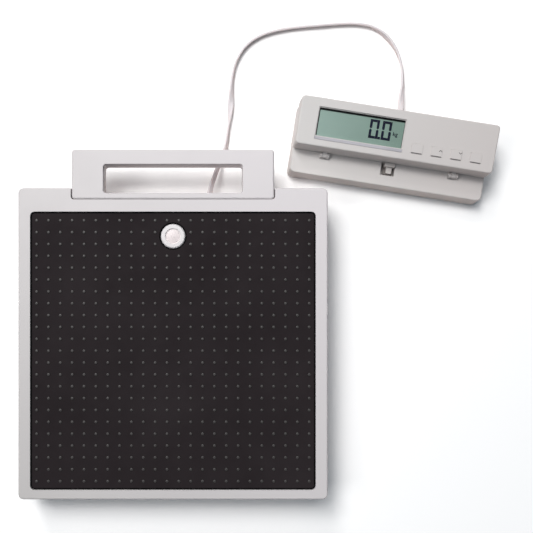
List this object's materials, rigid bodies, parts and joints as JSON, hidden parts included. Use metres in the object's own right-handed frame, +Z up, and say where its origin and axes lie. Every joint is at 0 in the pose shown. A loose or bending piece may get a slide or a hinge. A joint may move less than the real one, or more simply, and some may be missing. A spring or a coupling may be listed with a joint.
{
  "type": "flat scale",
  "caption": "Flat floor scale with a studded rubber mat, a carry handle and a separate tilting display unit on a short flat cord.",
  "frame": {"origin": "centre of the outline of platform and display unit on the floor, without the cord", "axes": "+X to the right, towards the display unit, +Y to the rear, where the carry handle is, +Z up"},
  "size_m": [0.5036, 0.5155, 0.0608],
  "materials": {
    "shell_plastic": "fine satin moulding",
    "handle_plastic": "fine satin moulding",
    "display_plastic": "fine satin moulding",
    "base_plastic": "matt moulding",
    "white_plastic": "smooth",
    "vial_plastic": "smooth translucent",
    "window_clear": "clear and smooth",
    "lcd_face": "smooth display glass",
    "strip_white": "printed film",
    "mat_rubber": "matt rubber with small studs",
    "foot_rubber": "matt",
    "silicone": "matt",
    "steel": "zinc plated",
    "circuit": "lacquered board",
    "cell_jacket": "printed jacket",
    "cord_plastic": "soft flat cable"
  },
  "bodies": {
    "root": {"platform_shell": "shell_plastic", "tread_mat": "mat_rubber", "carry_handle": "handle_plastic", "base_plate": "base_plastic", "main_board": "circuit", "level_bezel": "white_plastic", "level_vial": "vial_plastic", "level_lens": "vial_plastic", "battery_cell_1": "cell_jacket", "battery_cell_2": "cell_jacket", "battery_cell_3": "cell_jacket", "battery_cell_4": "cell_jacket", "load_cell_1": "steel", "load_cell_2": "steel", "load_cell_3": "steel", "load_cell_4": "steel", "base_screw_1": "steel", "base_screw_2": "steel", "base_screw_3": "steel", "base_screw_4": "steel", "platform_gland": "cord_plastic", "stand_shell": "display_plastic", "stand_base_plate": "base_plastic", "stand_foot_1": "foot_rubber", "stand_foot_2": "foot_rubber", "stand_foot_3": "foot_rubber", "stand_foot_4": "foot_rubber", "hinge_pin_1": "steel", "hinge_pin_2": "steel", "stand_gland": "cord_plastic", "display_cord": "cord_plastic"},
    "head": {"head_front_cover": "display_plastic", "head_rear_cover": "display_plastic", "window_pane": "window_clear", "lcd_module": "lcd_face", "label_strip": "strip_white", "key_mat": "silicone", "display_board": "circuit", "head_screw_1": "steel", "head_screw_2": "steel", "head_screw_3": "steel", "head_screw_4": "steel"},
    "catch": {"release_catch": "white_plastic"},
    "lid": {"battery_lid": "base_plastic"},
    "key_1": {"key_1": "display_plastic"},
    "foot_1": {"foot_pad_1": "foot_rubber"},
    "spindle_1": {"foot_screw_1": "steel"},
    "key_2": {"key_2": "display_plastic"},
    "foot_2": {"foot_pad_2": "foot_rubber"},
    "spindle_2": {"foot_screw_2": "steel"},
    "key_3": {"key_3": "display_plastic"},
    "foot_3": {"foot_pad_3": "foot_rubber"},
    "spindle_3": {"foot_screw_3": "steel"},
    "key_4": {"key_4": "display_plastic"},
    "foot_4": {"foot_pad_4": "foot_rubber"},
    "spindle_4": {"foot_screw_4": "steel"}
  },
  "joints": [
    {"name": "head_tilt", "type": "hinge", "parent": "root", "child": "head", "pos_m": [0.13889, 0.14043, 0.0273], "axis": [0.9877, -0.1564, 0], "range_deg": [0, 60]},
    {"name": "catch_slide", "type": "slide", "parent": "root", "child": "catch", "axis": [-0.1564, -0.9877, 0], "range_m": [0, 0.002], "stiffness_N_per_m": 400, "springref_m": -0.001},
    {"name": "lid_slide", "type": "slide", "parent": "root", "child": "lid", "axis": [0, -1, 0], "range_m": [0, 0.03]},
    {"name": "key_1_press", "type": "slide", "parent": "head", "child": "key_1", "axis": [0.0124, 0.0781, -0.9969], "range_m": [0, 0.001], "stiffness_N_per_m": 400, "springref_m": -0.001},
    {"name": "key_2_press", "type": "slide", "parent": "head", "child": "key_2", "axis": [0.0124, 0.0781, -0.9969], "range_m": [0, 0.001], "stiffness_N_per_m": 400, "springref_m": -0.001},
    {"name": "key_3_press", "type": "slide", "parent": "head", "child": "key_3", "axis": [0.0124, 0.0781, -0.9969], "range_m": [0, 0.001], "stiffness_N_per_m": 400, "springref_m": -0.001},
    {"name": "key_4_press", "type": "slide", "parent": "head", "child": "key_4", "axis": [0.0124, 0.0781, -0.9969], "range_m": [0, 0.001], "stiffness_N_per_m": 400, "springref_m": -0.001},
    {"name": "foot_1_extend", "type": "slide", "parent": "root", "child": "foot_1", "axis": [0, 0, -1], "range_m": [0, 0.00374]},
    {"name": "foot_1_turn", "type": "hinge", "parent": "foot_1", "child": "spindle_1", "pos_m": [0.02625, 0.06777, 0.01], "axis": [0, 0, -1], "range_deg": [0, 1080]},
    {"name": "foot_2_extend", "type": "slide", "parent": "root", "child": "foot_2", "axis": [0, 0, -1], "range_m": [0, 0.00374]},
    {"name": "foot_2_turn", "type": "hinge", "parent": "foot_2", "child": "spindle_2", "pos_m": [-0.20975, 0.06777, 0.01], "axis": [0, 0, -1], "range_deg": [0, 1080]},
    {"name": "foot_3_extend", "type": "slide", "parent": "root", "child": "foot_3", "axis": [0, 0, -1], "range_m": [0, 0.00374]},
    {"name": "foot_3_turn", "type": "hinge", "parent": "foot_3", "child": "spindle_3", "pos_m": [-0.20975, -0.16823, 0.01], "axis": [0, 0, -1], "range_deg": [0, 1080]},
    {"name": "foot_4_extend", "type": "slide", "parent": "root", "child": "foot_4", "axis": [0, 0, -1], "range_m": [0, 0.00374]},
    {"name": "foot_4_turn", "type": "hinge", "parent": "foot_4", "child": "spindle_4", "pos_m": [0.02625, -0.16823, 0.01], "axis": [0, 0, -1], "range_deg": [0, 1080]}
  ],
  "couplings": [
    {"joint": "foot_1_turn", "follows": "foot_1_extend", "rad_per_m": 5026.5},
    {"joint": "foot_2_turn", "follows": "foot_2_extend", "rad_per_m": 5026.5},
    {"joint": "foot_3_turn", "follows": "foot_3_extend", "rad_per_m": 5026.5},
    {"joint": "foot_4_turn", "follows": "foot_4_extend", "rad_per_m": 5026.5}
  ]
}
